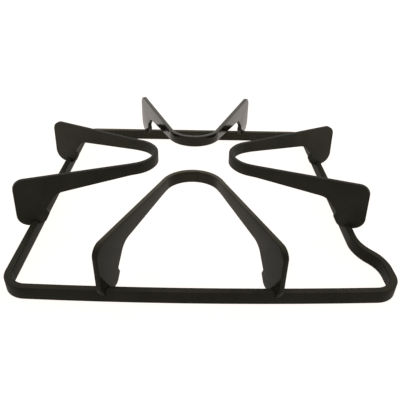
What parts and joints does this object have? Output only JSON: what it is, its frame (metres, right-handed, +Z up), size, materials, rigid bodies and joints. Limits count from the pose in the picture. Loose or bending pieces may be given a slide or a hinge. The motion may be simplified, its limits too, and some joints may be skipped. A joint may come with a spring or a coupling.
{
  "type": "hob pan support",
  "caption": "Enamelled pan support for a gas burner: a rounded-square flat-bar ring with a jogged corner, carrying hairpin strip fingers that point at the burner.",
  "frame": {"origin": "on the burner's axis, in the plane of the hob top that the ring stands on", "axes": "+X right, +Y to the rear of the hob, +Z up along the burner's axis"},
  "size_m": [0.2437, 0.2377, 0.0415],
  "materials": {
    "enamel": "gloss black vitreous enamel on steel"
  },
  "bodies": {
    "root": {"base_ring": "enamel", "front_finger": "enamel", "rear_finger": "enamel", "left_finger": "enamel", "right_finger": "enamel"}
  },
  "joints": []
}
